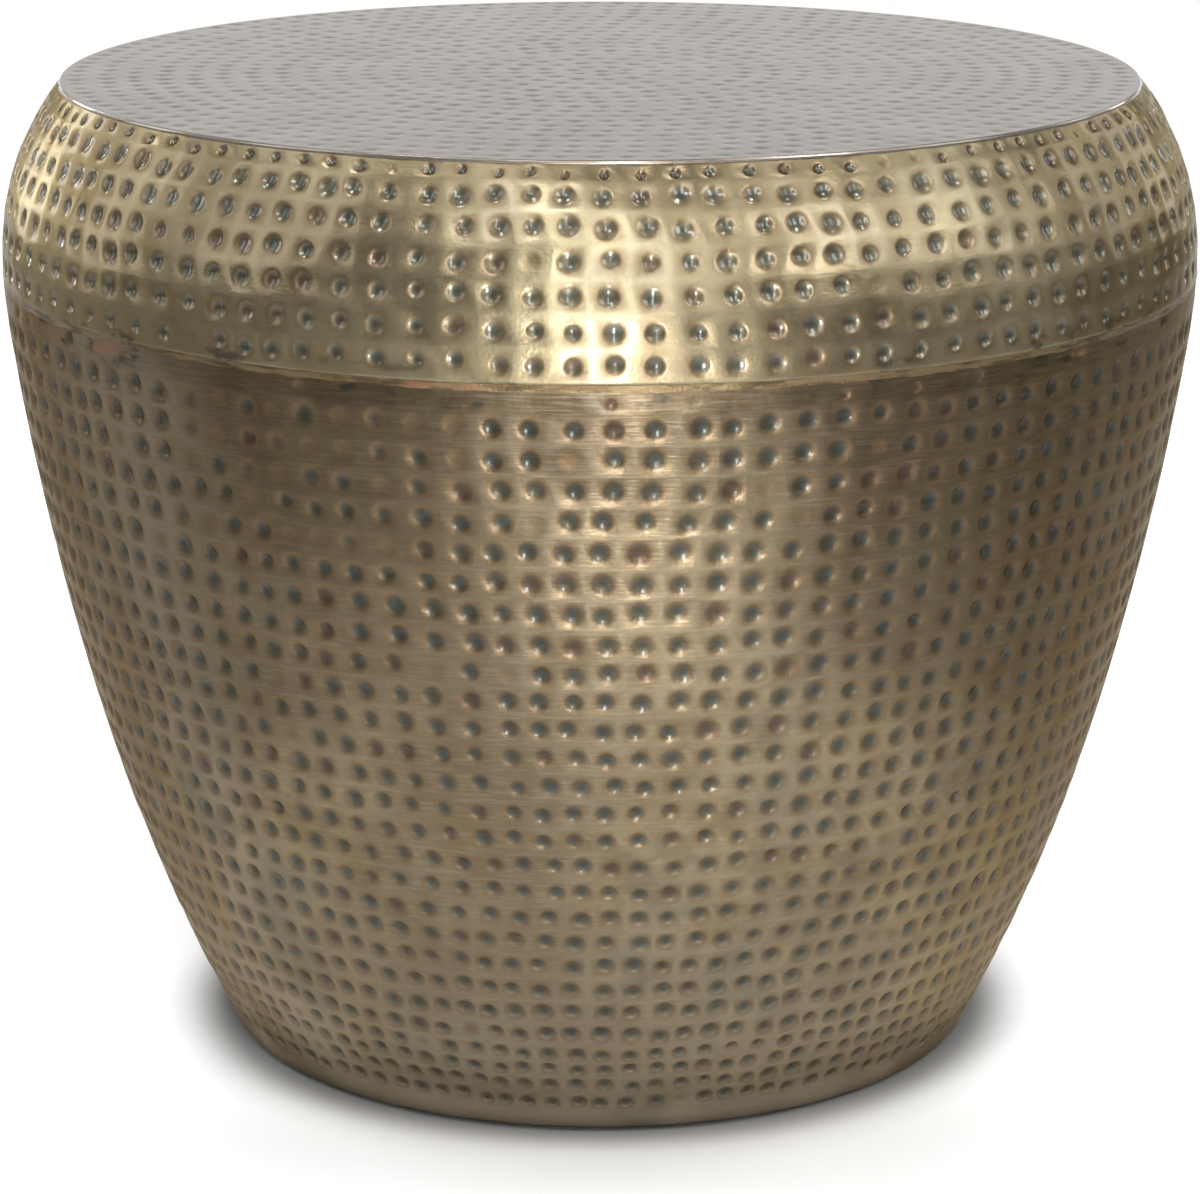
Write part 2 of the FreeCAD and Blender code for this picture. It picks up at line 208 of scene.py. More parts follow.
def hammeredBrass(name, tones):
    marks = brassMarks
    seam = tones["seamHeight"]
    finish, coords = newFinish(name)
    x, y, z = finish.apart(coords)
    hollow, tone, ridge = finish.apart(finish.node("Attribute", {"attribute_name": "hammer"}))
    broad = finish.noise(coords, tones["patchScale"], 2.0).between(*marks["patch"])
    blotch = finish.noise(coords, tones["blotchScale"], 4.0).between(*marks["blotch"])
    mottle = finish.noise(coords, tones["mottleScale"], 5.0, 0.65).between(*marks["mottle"])
    speck = finish.noise(coords, tones["speckScale"], 2.0)
    turned = y.around(x) * tones["brushLength"]
    brushed = finish.together(turned, z * tones["brushFine"], x * tones["brushAcross"])
    brush = finish.noise(brushed, 1.0, 4.0)

    metal = finish.mix(broad, tones["brown"], tones["gold"])
    metal = finish.mix(blotch * tones["greyShare"], metal, tones["grey"])
    metal = finish.mix(tone.between(*marks["brownCells"]) * tones["cellBrown"], metal, tones["brown"])
    metal = finish.mix(mottle * tones["mottleShare"], metal, tones["brown"])
    if seam:  # heat scorch with painted shade below the braze, browning with painted shade above it
        scorchAndShade = z.between(seam - tones["scorchShadeReach"], seam)
        scorchAndShade = scorchAndShade * (1.0 - z.between(seam, seam + tones["scorchShadeEnd"]))
        metal = finish.mix(scorchAndShade * blotch.atLeast(0.5) * tones["scorchShadeShare"], metal, tones["scorchAndShade"])
        # browning and painted shade on the shoulder just above the braze
        brownedAndShaded = 1.0 - z.between(seam, seam + tones["brownShadeReach"])
        metal = finish.mix(brownedAndShaded * blotch.atLeast(0.3) * tones["brownShadeShare"], metal, tones["brown"])

    # lighter metal: wear and painted highlight on the rims of the pits, lines along the brushing, wear and
    # painted light at the foot, painted light low on the wall
    metal = finish.mix(ridge * tones["rimWearAndHighlight"] * broad.atLeast(0.4), metal, tones["bright"])
    metal = finish.mix(brush.between(*marks["brush"]) * tones["brushShare"], metal, tones["bright"])
    # wear and painted light: the rolled foot is lightened
    foot = 1.0 - z.between(*marks["foot"])
    metal = finish.mix(foot * tones["footWearAndLight"], metal, tones["rubbedAndLit"])
    # painted light: the lower wall is lightened towards bright brass
    lowPaintedLight = 1.0 - z.between(*marks["lowPaintedLight"])
    metal = finish.mix(lowPaintedLight * tones["lowLightShare"], metal, tones["bright"])

    # painted shade on the flanks to either side of the front, then painted light on the sides
    aside = abs(x - tones["flankShadeShift"]) / finish.length(finish.together(x, y, 0.0))
    paintedFlankShade = aside.between(*marks["flankShadeStart"]) * (1.0 - aside.between(*marks["flankShadeEnd"]))
    paintedFlankShade = paintedFlankShade * z.between(*marks["flankShadeRise"])
    metal = finish.mix(paintedFlankShade * broad.atLeast(0.6) * tones["flankShadeShare"], metal, tones["scorchAndShade"])
    # painted light: the sides are lightened towards a paler, greyer brass
    metal = finish.mix(aside.between(*marks["side"]) * tones["sideLightShare"], metal, tones["paintedSideLight"])
    low = 1.0 - z.between(*marks["low"])
    haze = finish.noise(coords, tones["hazeScale"], 3.0).between(*marks["haze"])
    metal = finish.mix(haze * low * tones["hazeShare"], metal, tones["haze"])

    # a warm ring round each pit and patina in it, cool in most and warm in a few
    halo = hollow.between(*marks["haloStart"]) * (1.0 - hollow.between(*marks["haloEnd"]))
    metal = finish.mix(halo * tones["haloShare"], metal, tones["halo"])
    pitTone = finish.mix(tone.between(*marks["warmPits"]), tones["pitCool"], tones["pitWarm"])
    pitTone = finish.mix(low * tones["pitFade"], pitTone, tones["haze"])
    shade = hollow.between(*marks["pit"]) * speck.between(*marks["grit"]).atLeast(0.8) * tones["pitShare"]
    metal = finish.mix(shade, metal, pitTone)
    if seam:  # copper and dark stains along the braze
        away = (z - seam) / tones["seamReach"]
        near = (1.0 - away * away).between(0.0, 1.0)
        copper = finish.streaks(coords, tones["copperScales"], 4.0).between(*marks["copper"])
        metal = finish.mix(near * copper * tones["copperShare"], metal, tones["copper"])
        stain = finish.streaks(coords, tones["stainScales"], 3.0).between(*marks["stain"])
        metal = finish.mix(near * stain * tones["stainShare"], metal, tones["pitCool"])

    grain = finish.noise(coords, tones["grainScale"], 3.0) * (0.5 + 1.5 * hollow)  # coarser in the pits
    normal = finish.bump(brush, tones["brushBump"], tones["brushRelief"])
    normal = finish.bump(grain, tones["grainBump"], tones["grainRelief"], normal)
    rough = tones["rough"] + tones["roughBlotch"] * (blotch - 0.5)
    rough = rough + tones["roughPit"] * hollow + tones["roughSpeck"] * (speck - 0.5)
    lacquer = tones["lacquer"]
    if tones["lacquerPool"]:  # it lies unevenly in the pits
        pool = hollow.between(*marks["pool"]) * speck.between(*marks["glint"])
        lacquer = lacquer + tones["lacquerPool"] * pool
    return finish.surface(
        Base_Color=metal,
        Metallic=1.0 - tones["pitDull"] * shade,
        Roughness=rough,
        Normal=normal,
        Specular_Tint=tones["edgeTint"],
        Coat_Weight=lacquer,
        Coat_Roughness=tones["lacquerRough"],
    )


# painted shade: the body's colours are darker than the shoulder's, standing for the dim surroundings its
# steep wall takes in
bodyTones = {
    "gold": (0.230, 0.180, 0.105, 1),
    "brown": (0.112, 0.081, 0.045, 1),
    "grey": (0.145, 0.130, 0.098, 1),
    "bright": (0.38, 0.325, 0.240, 1),
    "rubbedAndLit": (0.49, 0.415, 0.300, 1),
    "paintedSideLight": (0.38, 0.338, 0.285, 1),
    "halo": (0.160, 0.105, 0.055, 1),
    "haze": (0.120, 0.122, 0.106, 1),
    "scorchAndShade": (0.058, 0.040, 0.022, 1),
    "pitCool": (0.022, 0.029, 0.025, 1),
    "pitWarm": (0.045, 0.026, 0.018, 1),
    "copper": (0.34, 0.150, 0.075, 1),
    "edgeTint": (0.40, 0.32, 0.22, 1),
    # how fine each pattern is
    "patchScale": 5.5, "hazeScale": 11, "blotchScale": 26, "mottleScale": 48, "speckScale": 240,
    "grainScale": 520, "brushLength": 14, "brushFine": 900, "brushAcross": 6.0,
    "copperScales": (30, 30, 190), "stainScales": (55, 55, 110),
    # how much of each tone shows
    "greyShare": 0.4, "mottleShare": 0.5, "rimWearAndHighlight": 0.12, "brushShare": 0.15, "footWearAndLight": 0.9,
    "lowLightShare": 0.42, "flankShadeShare": 0.55, "flankShadeShift": 20 * mm, "sideLightShare": 0.36, "hazeShare": 0.5,
    "haloShare": 0.55, "pitShare": 0.95, "pitFade": 0.12, "cellBrown": 0.35, "pitDull": 0.15,
    # the braze and its heat, and painted shade below and above it
    "seamHeight": 366 * mm, "seamReach": 12 * mm, "copperShare": 0.45, "stainShare": 0.7,
    "scorchShadeShare": 1.0, "scorchShadeReach": 115 * mm, "scorchShadeEnd": 2 * mm,
    "brownShadeShare": 0.0, "brownShadeReach": 36 * mm,
    # polish, relief and lacquer
    "rough": 0.40, "roughBlotch": 0.14, "roughPit": 0.18, "roughSpeck": 0.10,
    "brushBump": 0.22, "brushRelief": 0.6 * mm, "grainBump": 0.14, "grainRelief": 1.0 * mm,
    "lacquer": 0.10, "lacquerPool": 0.40, "lacquerRough": 0.18,
}
shoulderTones = dict(
    bodyTones,
    gold=(0.345, 0.295, 0.178, 1),
    brown=(0.155, 0.122, 0.068, 1),
    grey=(0.25, 0.22, 0.145, 1),
    edgeTint=(0.6, 0.53, 0.40, 1),
    greyShare=0.3, mottleShare=0.45, rimWearAndHighlight=0.15, brushShare=0.05, footWearAndLight=0, lowLightShare=0,
    flankShadeShare=0, sideLightShare=0, hazeShare=0,
    scorchShadeShare=0, brownShadeShare=0.95, brownShadeReach=44 * mm,
    rough=0.39, brushBump=0.10, lacquer=0.26, lacquerPool=0.9, lacquerRough=0.17,
)
topTones = dict(
    bodyTones,
    gold=(0.22, 0.186, 0.148, 1),
    brown=(0.185, 0.157, 0.128, 1),
    edgeTint=(0.81, 0.71, 0.62, 1),
    mottleShare=0.2, footWearAndLight=0, lowLightShare=0, flankShadeShare=0, sideLightShare=0, hazeShare=0, haloShare=0.2,
    pitShare=0.4, pitFade=0, seamHeight=0,
    rough=0.36, lacquer=1.0, lacquerPool=0, lacquerRough=0.08,
)


# Plainer finishes: the braze, and all that is inside and underneath

braze = {
    "dark": (0.085, 0.058, 0.032, 1),
    "pale": (0.185, 0.136, 0.074, 1),
    "copper": (0.27, 0.125, 0.066, 1),
    "copperShare": 0.55,
    "runScales": (60, 60, 300),
    "copperScales": (22, 22, 40),
    "grainScale": 700,
    "relief": 0.6 * mm,
}


def brazeMetal():
    finish, coords = newFinish("brazeMetal")
    run = finish.streaks(coords, braze["runScales"], 4.0)
    colour = finish.mix(run.between(0.35, 0.6), braze["dark"], braze["pale"])
    copper = finish.streaks(coords, braze["copperScales"], 3.0).between(0.60, 0.72)
    colour = finish.mix(copper * braze["copperShare"], colour, braze["copper"])
    normal = finish.bump(finish.noise(coords, braze["grainScale"]), 0.35, braze["relief"])
    return finish.surface(Base_Color=colour, Metallic=1.0, Roughness=0.35 + 0.25 * run, Normal=normal)


blackPaint = {
    "clean": (0.012, 0.012, 0.013, 1),
    "dusty": (0.045, 0.042, 0.038, 1),
    "dustScale": 35,
    "peelScale": 900,
    "relief": 0.5 * mm,
}


def blackSteel():
    finish, coords = newFinish("blackSteel")
    peel = finish.noise(coords, blackPaint["peelScale"], 2.0)
    dust = finish.noise(coords, blackPaint["dustScale"], 4.0).between(0.5, 0.75)
    colour = finish.mix(dust, blackPaint["clean"], blackPaint["dusty"])
    normal = finish.bump(peel, 0.25, blackPaint["relief"])
    return finish.surface(Base_Color=colour, Roughness=0.42 + 0.3 * dust, Normal=normal)


weld = {
    "heatTints": [
        (0.30, (0.055, 0.050, 0.050, 1)),
        (0.50, (0.20, 0.16, 0.12, 1)),
        (0.68, (0.10, 0.11, 0.16, 1)),
    ],
    "heatScale": 160,
    "rippleScale": 420,
    "relief": 0.8 * mm,
}


def weldMetal():
    finish, coords = newFinish("weldMetal")
    heat = finish.noise(coords, weld["heatScale"], 3.0)
    colour = finish.node("ValToRGB", {"stops": weld["heatTints"]}, {"Fac": heat})
    normal = finish.bump(finish.noise(coords, weld["rippleScale"], 2.0), 0.7, weld["relief"])
    return finish.surface(Base_Color=colour, Metallic=0.9, Roughness=0.35 + 0.3 * heat, Normal=normal)


plating = {
    "rimWire": {"pale": (0.42, 0.42, 0.43, 1), "deep": (0.28, 0.28, 0.29, 1), "rough": 0.35},
    "zincSteel": {"pale": (0.62, 0.63, 0.65, 1), "deep": (0.46, 0.47, 0.50, 1), "rough": 0.22},
    "screwSteel": {"pale": (0.62, 0.50, 0.24, 1), "deep": (0.48, 0.36, 0.18, 1), "rough": 0.25},
}
plate = {"spangleScale": 420.0, "scratchScales": (300, 300, 2400), "relief": 0.4 * mm}


def platedSteel(name):
    finish, coords = newFinish(name)
    sockets = {"Vector": coords, "Scale": plate["spangleScale"]}
    tone = finish.apart(finish.node("TexVoronoi", None, sockets, out="Color"))[0]
    colour = finish.mix(tone, plating[name]["deep"], plating[name]["pale"])
    normal = finish.bump(finish.streaks(coords, plate["scratchScales"], 2.0), 0.15, plate["relief"])
    rough = plating[name]["rough"] + 0.15 * tone
    return finish.surface(Base_Color=colour, Metallic=1.0, Roughness=rough, Normal=normal)


ply = {
    "deep": (0.52, 0.36, 0.20, 1),
    "pale": (0.66, 0.50, 0.31, 1),
    "ring": (0.44, 0.27, 0.13, 1),
    "glueLine": (0.33, 0.20, 0.10, 1),
    "layer": 1.5 * mm,
    "grainScales": (14, 260, 900),
    "ringScales": (3, 26, 3),
    "relief": 0.4 * mm,
}


def birchPly():
    finish, coords = newFinish("birchPly")
    layers = finish.apart(coords)[2] / ply["layer"]
    glue = layers.maths("PINGPONG", layers, 1.0).between(0.35, 0.65)
    grain = finish.streaks(coords, ply["grainScales"], 5.0, 0.62)
    rings = finish.streaks(coords, ply["ringScales"], 3.0).between(0.45, 0.65)
    colour = finish.mix(grain.between(0.32, 0.68), ply["deep"], ply["pale"])
    colour = finish.mix(rings * 0.5, colour, ply["ring"])
    colour = finish.mix(glue * 0.3, colour, ply["glueLine"])
    normal = finish.bump(grain, 0.3, ply["relief"])
    return finish.surface(Base_Color=colour, Roughness=0.55 + 0.2 * grain, Normal=normal)


nylon = {
    "deep": (0.020, 0.020, 0.022, 1),
    "pale": (0.038, 0.037, 0.036, 1),
    "cloudScale": 90,
    "grainScale": 2600,
    "relief": 0.3 * mm,
}


def footNylon():
    finish, coords = newFinish("footNylon")
    cloud = finish.noise(coords, nylon["cloudScale"], 3.0)
    colour = finish.mix(cloud.between(0.35, 0.7), nylon["deep"], nylon["pale"])
    normal = finish.bump(finish.noise(coords, nylon["grainScale"], 2.0), 0.3, nylon["relief"])
    return finish.surface(Base_Color=colour, Roughness=0.45 + 0.2 * cloud, Normal=normal)


felt = {
    "deep": (0.10, 0.085, 0.070, 1),
    "pale": (0.24, 0.21, 0.18, 1),
    "fibreScale": 1500,
    "clumpScale": 260,
    "relief": 0.9 * mm,
    "sheen": 0.4,
}


def soleFelt():
    finish, coords = newFinish("soleFelt")
    fibre = finish.noise(coords, felt["fibreScale"], 6.0, 0.7)
    clump = finish.noise(coords, felt["clumpScale"], 3.0)
    colour = finish.mix(fibre.between(0.35, 0.65), felt["deep"], felt["pale"])
    normal = finish.bump(fibre + clump, 0.9, felt["relief"])
    return finish.surface(Base_Color=colour, Roughness=0.95, Sheen_Weight=felt["sheen"], Normal=normal)


# Shapes shared by the hammered pieces

noise.seed_set(7)     # without it, noise_vector changes from run to run
creaseAngle = math.radians(55)
sheet = 1.2 * mm      # gauge of the spun shells
hair = 0.01 * mm      # closes doubles, and steps off a corner
rayAside = 0.3 * mm   # keeps the wall's readings off the edges that lie at y = 0
seamBottom, seamTop = (corner.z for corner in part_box("seam_braze"))
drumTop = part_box("top_sheet")[1].z
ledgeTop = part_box("shoulder_shell")[1].z
# rings of a pit, as shares of its radius, depth, dark patina and steepness, and of the rim's wear and
# painted highlight
pitRings = [
    {"wide": 1.22, "deep": 0.10, "shade": 0.18, "ridge": 0.4},
    {"wide": 0.76, "deep": 0.52, "shade": 0.54, "tilt": 1.3, "ridge": 0},
    {"wide": 0, "deep": 1, "shade": 1, "tilt": 0, "ridge": 0},
]

wallMesh = bmesh.new()
for wallName in ("body_shell", "seam_braze", "shoulder_shell", "top_sheet"):
    wallMesh.from_mesh(nodes[wallName].data)
wallTree = BVHTree.FromBMesh(wallMesh)
wallMesh.free()


def wallRadius(z):  # outside of the drum at a height, read from the frame
    return wallTree.ray_cast((1, rayAside, z), (-1, 0, 0))[0].x


def polar(radius, turn, z):
    return Vector((radius * math.cos(turn), radius * math.sin(turn), z))


def reach(place):
    return math.hypot(place.x, place.y)


def evenly(first, last, steps):  # both ends and the places between them
    return [first + (last - first) * step / steps for step in range(steps + 1)]


def order(place):  # sorts by height, then radius, then round the axis, the same way in every run
    turn = (math.atan2(place.y, place.x) + 0.01) % math.tau
    return round(place.z / mm, 2), round(reach(place) / mm, 1), round(turn, 4)


def lathe(bm, outline, steps):  # spins (radius, height) points round the axis and gives the new faces
    verts = [bm.verts.new((radius, 0, z)) for radius, z in outline]
    edges = [bm.edges.new(pair) for pair in zip(verts, verts[1:])]
    known = set(bm.faces)
    bmesh.ops.spin(bm, geom=verts + edges, cent=(0, 0, 0), axis=(0, 0, 1),
                   angle=math.tau, steps=steps, use_merge=True)
    made = [face for face in bm.faces if face not in known]
    return sorted(made, key=lambda face: order(face.calc_center_median()))


def openRims(bm, split):  # the open edges above a height, and those below it
    rims = [edge for edge in bm.edges if edge.is_boundary]
    above = [edge for edge in rims if edge.verts[0].co.z > split]
    below = [edge for edge in rims if edge.verts[0].co.z < split]
    return above, below


def growLoop(bm, loop, radius, z):  # pulls a ring of edges on to a new radius and height
    made = bmesh.ops.extrude_edge_only(bm, edges=loop)["geom"]
    verts = [part for part in made if isinstance(part, bmesh.types.BMVert)]
    for vert in verts:
        vert.co = polar(radius, math.atan2(vert.co.y, vert.co.x), z)
    lean = bm.verts.layers.float_vector.get("lean")
    if lean:
        for vert in verts:
            vert[lean] = (0, 0, 0)
    fresh = set(verts)
    return [part for part in made if isinstance(part, bmesh.types.BMEdge) and fresh.issuperset(part.verts)]


def growAlong(bm, loop, outline):
    for radius, z in outline:
        loop = growLoop(bm, loop, radius, z)
    return loop


def cutRims(bm, cells, cuts):  # more corners on every cell's rim
    rims = dict.fromkeys(edge for cell in cells for edge in cell.edges)
    bmesh.ops.bisect_edges(bm, edges=list(rims), cuts=cuts)


def spokes(rim, centre, square):
    # directions out from a pit's centre, evenly spaced and turned to suit the rim of its cell
    arms = [place - centre for place in rim]
    first = (arms[0] - arms[0].dot(square) * square).normalized()
    side = square.cross(first)
    pitch = math.tau / len(rim)
    turns = [math.atan2(arm.dot(side), arm.dot(first)) % math.tau for arm in arms]
    shift = sum(turn - pitch * index for index, turn in enumerate(turns)) / len(rim)
    swings = [shift + pitch * index for index in range(len(rim))]
    return [first * math.cos(swing) + side * math.sin(swing) for swing in swings]


def sinkPits(bm, cells, hammer, pitFor):
    # each cell gets rings that step down from its rim into a round pit, in land that shades smoothly
    bm.normal_update()
    bm.verts.layers.float_color.new("hammer")
    bm.verts.layers.float_vector.new("lean")  # which way the surface faces
    layer = bm.verts.layers.float_color["hammer"]
    lean = bm.verts.layers.float_vector["lean"]
    pits = {cell: pitFor(cell) for cell in cells}
    for cell in cells:
        for vert in cell.verts:
            vert[layer] = (0, pits[cell]["tone"], pits[cell]["crown"], 1)
            vert[lean] = vert[lean] + cell.normal
    for vert in dict.fromkeys(vert for cell in cells for vert in cell.verts):
        wave = noise.noise_vector(vert.co * hammer["waveScale"]) * hammer["wave"]
        vert[lean] = (vert[lean].normalized() + wave).normalized()
    for cell in cells:
        pit = pits[cell]
        pit["rim"] = [vert.co.copy() for vert in cell.verts]
        pit["facing"] = [vert[lean].copy() for vert in cell.verts]
        pit["spokes"] = spokes(pit["rim"], pit["centre"], pit["normal"])
    for ring in pitRings:
        bmesh.ops.inset_individual(bm, faces=cells, thickness=hammer["step"])
        for cell in cells:
            pit = pits[cell]
            square = pit["normal"]
            wide = pit["radius"] * ring["wide"]
            deep = pit["depth"] * ring["deep"] * (pit["crown"] if ring["ridge"] else 1)
            tilt = pit["steep"] * (pit["lip"] if ring["ridge"] else ring["tilt"])
            for vert, place, facing, out in zip(cell.verts, pit["rim"], pit["facing"], pit["spokes"]):
                smooth = square.lerp(facing, min(1, wide / (place - pit["centre"]).length)).normalized()
                vert.co = pit["centre"] + out * wide - square * deep
                vert[layer] = (ring["shade"] * pit["dark"], pit["tone"], ring["ridge"] * pit["crown"], 1)
                vert[lean] = smooth * math.cos(tilt) - out * math.sin(tilt)
    bottoms = [vert for cell in cells for vert in cell.verts]
    bmesh.ops.remove_doubles(bm, verts=bottoms, dist=hair)


def finishPiece(name, bm, material, body, slotName, *replaced):
    bmesh.ops.recalc_face_normals(bm, faces=bm.faces)
    for face in bm.faces:
        face.smooth = True
    for edge in bm.edges:
        edge.smooth = not edge.is_manifold or edge.calc_face_angle() < creaseAngle
    mesh = bpy.data.meshes.new(name)
    bm.to_mesh(mesh)
    bm.free()
    if "lean" in mesh.attributes:
        facing = [spot.vector.normalized() for spot in mesh.attributes["lean"].data]
        mesh.attributes.remove(mesh.attributes["lean"])
        mesh.normals_split_custom_set_from_vertices(facing)
    mesh.materials.append(material)
    piece = bpy.data.objects.new(name, mesh)
    bpy.context.scene.collection.objects.link(piece)
    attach(piece, body)
    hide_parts(*replaced)
    triangles = sum(len(polygon.vertices) - 2 for polygon in mesh.polygons)
    print(name, "has", triangles, "triangles")


# Walls of the body and the shoulder: rows of cells, each struck once

wallShake = {
    "turnScale": 3.2,    # noise that sways the columns
    "rowScale": 0.45,
    "sway": 0.45,        # shares of a column
    "jog": 0.10,
    "liftScale": 1.7,    # noise that lifts the rows
    "lift": 0.3,         # share of the wander that is each corner's own
    "dishTurn": 14,      # noise of the slow hollows, round the wall
    "dishRise": 50,      # and up it, per metre
}
blows = {
    "force": (0.78, 1.05),
    "patchScale": 22,          # areas of heavy and light blows
    "patchForce": (0.8, 0.3),  # least, and what a heavy area adds
    "missShare": 0.025,        # blows that barely marked the sheet
    "missForce": 0.25,
    "spread": (0.82, 1.10),    # of the radius
    "lowDepth": 0.8,           # share of the depth that is left towards the foot
    "crownForce": 0.6,         # force from which the land is rounded in full
    "darkForce": 0.7,          # and from which the patina is full
    "lip": (0.12, 0.30),       # least turn of the lip, and what the crown adds
    "lipSpread": (0.5, 1.5),
    "darkSpread": (0.85, 1.0),
}


def shakeWall(bm, lines, hammer, draws, stagger):
    # shifts the row lines round the wall and up or down, so that no two cells are alike
    shake = wallShake
    pitch = math.tau / hammer["columns"]
    shifts = [draws.uniform(-1, 1) * stagger(line) for line in lines]
    for vert in sorted(bm.verts, key=lambda vert: order(vert.co)):
        turn = math.atan2(vert.co.y, vert.co.x)
        row = min(range(len(lines)), key=lambda index: abs(lines[index] - vert.co.z))
        spot = polar(shake["turnScale"], turn, row * shake["rowScale"])
        jog = draws.uniform(-shake["jog"], shake["jog"])
        turn += pitch * (shifts[row] + shake["sway"] * noise.noise(spot) + jog)
        z = lines[row]
        if 0 < row < len(lines) - 1:
            lift = draws.uniform(-shake["lift"], shake["lift"])
            z += hammer["wander"] * (noise.noise(spot * shake["liftScale"]) + lift)
        dish = noise.noise(polar(shake["dishTurn"], turn, z * shake["dishRise"]))
        vert.co = polar(wallRadius(z) - hammer["dish"] * (0.5 + 0.5 * dish), turn, z)


def wallCells(bm, lines, hammer, draws, stagger):  # the cells between the row lines, facing out
    cells = lathe(bm, [(wallRadius(line), line) for line in lines], hammer["columns"])
    if cells[0].normal.dot(cells[0].calc_center_median()) < 0:
        bmesh.ops.reverse_faces(bm, faces=cells)
    shakeWall(bm, lines, hammer, draws, stagger)
    cutRims(bm, cells, hammer["rimCuts"])
    return cells


def roomInside(cell, centre):  # from a point in the cell to the nearest edge of its rim
    sides = [[vert.co for vert in edge.verts] for edge in cell.edges]
    nearest = [geometry.intersect_point_line(centre, *side)[0] for side in sides]
    return min((place - centre).length for place in nearest)


def wallPit(hammer, draws, strengthAt, roomAt):
    lowRow, highRow = hammer["crownRows"]
    leastForce, heavyForce = blows["patchForce"]
    leastLip, crownLip = blows["lip"]
    stray = hammer["stray"]

    def pit(cell):
        middle = cell.calc_center_median()
        height = min(max((middle.z - lowRow) / (highRow - lowRow), 0), 1)
        along = polar(1, math.atan2(middle.x, -middle.y), 0)
        centre = middle + draws.uniform(-stray, stray) * along
        centre = centre + Vector((0, 0, draws.uniform(-stray, stray)))
        heavy = 0.5 + 0.5 * noise.noise(middle * blows["patchScale"])
        strength = strengthAt(middle) * draws.uniform(*blows["force"]) * (leastForce + heavyForce * heavy)
        if draws.random() < blows["missShare"]:
            strength *= blows["missForce"]
        wide = hammer["lowRadius"] + (hammer["pitRadius"] - hammer["lowRadius"]) * height
        room = roomInside(cell, centre) * hammer["pitFill"]
        radius = min(wide * draws.uniform(*blows["spread"]), room)
        depth = hammer["pitDepth"] * strength * (blows["lowDepth"] + (1 - blows["lowDepth"]) * height)
        crown = hammer["lowCrown"] + (hammer["crown"] - hammer["lowCrown"]) * height
        crown *= min(1.0, strength / blows["crownForce"])
        return {
            "centre": centre,
            "normal": cell.normal.copy(),
            "radius": radius,
            "depth": min(depth, roomAt(middle)),
            "steep": math.atan(depth / radius),
            "lip": (leastLip + crownLip * crown) * draws.uniform(*blows["lipSpread"]),
            "dark": min(1.0, strength / blows["darkForce"]) * draws.uniform(*blows["darkSpread"]),
            "tone": draws.random(),
            "crown": crown,
        }
    return pit


# Body: tall rows of punched pits that tighten towards the foot, then a wired rim

bodyHammer = {
    "seed": 11,
    "columns": 107,
    "rows": 23,
    "rowTaper": 0.06,         # upper rows are this much taller than the mean, lower ones shorter
    "firstRow": 8.2 * mm,     # crowded dents under the seam
    "firstForces": (0.06, 0.06, 0.06, 0.45),
    "fineRows": 4,
    "fineTop": 49.6 * mm,
    "fineForce": 0.8,
    "smoothBand": 13.5 * mm,  # bare metal below this height
    "bandSteps": 3,
    "stagger": 0.06,          # most that a row is shifted round, as a share of a column
    "lowStagger": 0.22,
    "lowRows": 0.2,           # height below which rows have the low stagger
    "pitRadius": 5.3 * mm,
    "lowRadius": 4.3 * mm,    # towards the foot
    "crown": 1.2,             # how far the land rounds over into the pits
    "lowCrown": 0.5,
    "crownRows": (0.15, 0.27),  # heights between which low gives way to full
    "pitFill": 0.74,          # most that a pit's radius takes of the room in its cell
    "pitDepth": 1.75 * mm,
    "stray": 1.0 * mm,
    "rimCuts": 2,
    "step": 0.2 * mm,
    "wander": 1.3 * mm,       # how far row lines stray
    "dish": 0.35 * mm,        # slow hollows left by the planishing
    "wave": 0.05,             # and how far they turn the light
    "waveScale": 30,
    "bareAbove": 0.285,       # above this, patches where few blows marked the sheet
    "bareScale": 7.5,
    "bareLevel": 0.22,
    "bareShift": Vector((0, 0, 33)),
    "bareForces": (0.3, 0.6, 0.9),
    "lining": 2.5 * mm,       # inner wall, clear of the pits
    "wallSteps": 5,
    "lapGap": 0.2 * mm,       # keeps the collar behind the shoulder's pits
    "tightDepth": 0.3 * mm,   # deepest pit where steel is welded on behind
}
rimCurl = {"start": -26.4, "sweep": 280, "outSteps": 8, "backSteps": 3}  # degrees round the wire


def rowLines(hammer):
    high = seamBottom - hammer["firstRow"]
    span = high - hammer["fineTop"]
    lines = [seamBottom]
    for row in range(hammer["rows"] + 1):
        share = row / hammer["rows"]
        lines.append(high - span * share * (1 + hammer["rowTaper"] * (1 - share)))
    return lines + evenly(hammer["fineTop"], hammer["smoothBand"], hammer["fineRows"])[1:]


def curlOutline():
    # the sheet's edge rolled round the rim wire: outside, tip, then back along the wire
    low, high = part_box("base_wire")
    wireRadius = (high.z - low.z) / 2
    centreZ = (high.z + low.z) / 2
    centreR = high.x - wireRadius
    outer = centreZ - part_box("body_shell")[0].z
    start = math.radians(rimCurl["start"])
    end = start - math.radians(rimCurl["sweep"])

    def arc(radius, steps):
        turns = evenly(start, end, steps)
        return [(centreR + radius * math.cos(turn), centreZ + radius * math.sin(turn)) for turn in turns]
    return arc(outer, rimCurl["outSteps"]) + arc(outer - sheet, rimCurl["backSteps"])[::-1]


